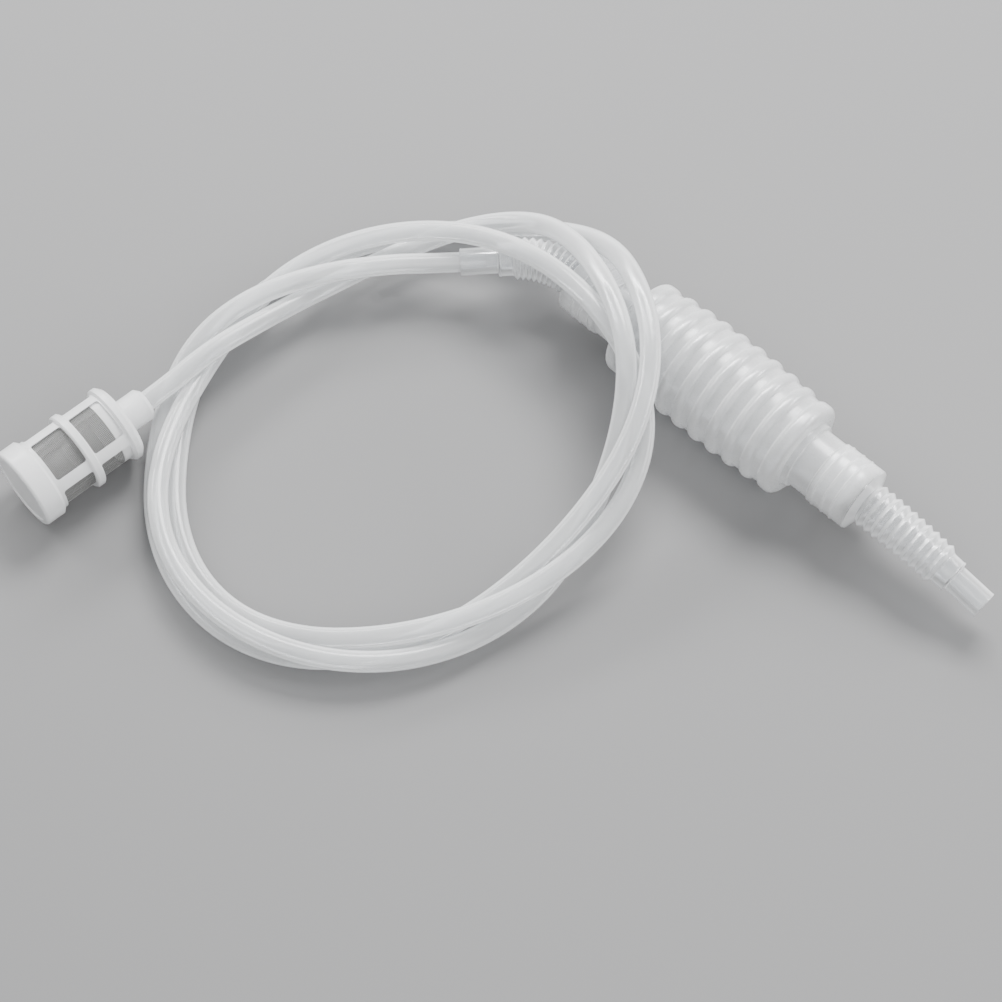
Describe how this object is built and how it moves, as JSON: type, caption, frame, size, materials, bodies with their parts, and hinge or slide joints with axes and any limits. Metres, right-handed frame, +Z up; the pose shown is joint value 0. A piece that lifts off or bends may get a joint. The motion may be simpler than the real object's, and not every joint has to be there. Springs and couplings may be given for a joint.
{
  "type": "siphon bulb pump",
  "caption": "Hand siphon pump: ribbed translucent squeeze bulb with a check valve in each neck, bendy connectors, a coiled clear hose and a mesh strainer.",
  "frame": {"origin": "on the surface the pump lies on, under the middle of the footprint of the bulb with its two connectors", "axes": "+X along the bulb in the direction of flow, from the hose end to the outlet, +Z up, +Y to the bulb's side away from the coil"},
  "size_m": [0.3847, 0.2905, 0.0714],
  "materials": {
    "bulb": "milky translucent soft polyethylene, slightly waxy gloss",
    "valve": "white moulded polyethylene",
    "valve_disc": "soft translucent silicone rubber",
    "connector": "clear soft PVC, glossy",
    "hose": "clear soft PVC tube, glossy",
    "strainer": "white translucent moulded polyethylene",
    "mesh": "woven nylon mesh"
  },
  "bodies": {
    "bulb": {"bulb_shell": "bulb", "inlet_valve_body": "valve", "inlet_valve_guard": "valve", "inlet_bellows": "connector", "inlet_nozzle": "connector", "hose_lead": "hose", "hose_coil": "hose", "hose_tail": "hose", "filter_neck": "strainer", "filter_cage": "strainer", "filter_mesh": "mesh"},
    "inlet_disc": {"inlet_valve_disc": "valve_disc"},
    "outlet_end": {"outlet_valve_body": "valve", "outlet_valve_guard": "valve", "outlet_bellows_rear": "connector"},
    "outlet_disc": {"outlet_valve_disc": "valve_disc"},
    "outlet_bend": {"outlet_bellows_front": "connector"},
    "outlet_spout": {"outlet_nozzle": "connector"},
    "strainer_end": {"filter_end_cap": "strainer"}
  },
  "joints": [
    {"name": "bulb_squeeze", "type": "slide", "parent": "bulb", "child": "outlet_end", "axis": [-1, 0, 0], "range_m": [0, 0.015], "stiffness_N_per_m": 1500, "deforming": ["bulb_shell"]},
    {"name": "inlet_disc_lift", "type": "slide", "parent": "bulb", "child": "inlet_disc", "axis": [1, 0, 0], "range_m": [0, 0.0019]},
    {"name": "outlet_disc_lift", "type": "slide", "parent": "outlet_end", "child": "outlet_disc", "axis": [1, 0, 0], "range_m": [0, 0.0019]},
    {"name": "outlet_swing", "type": "hinge", "parent": "outlet_end", "child": "outlet_bend", "pos_m": [0.09345, 0.0042, 0.02679], "axis": [0, 0, 1], "range_deg": [-35, 35], "stiffness_Nm_per_rad": 0.05, "deforming": ["outlet_bellows_rear"]},
    {"name": "outlet_tip", "type": "hinge", "parent": "outlet_bend", "child": "outlet_spout", "pos_m": [0.11534, 0.0042, 0.02468], "axis": [0, -1, 0], "range_deg": [-12, 40], "stiffness_Nm_per_rad": 0.05, "deforming": ["outlet_bellows_front"]},
    {"name": "filter_cap_pull", "type": "slide", "parent": "bulb", "child": "strainer_end", "axis": [-0.1003, -0.995, 0], "range_m": [0, 0.025]}
  ]
}
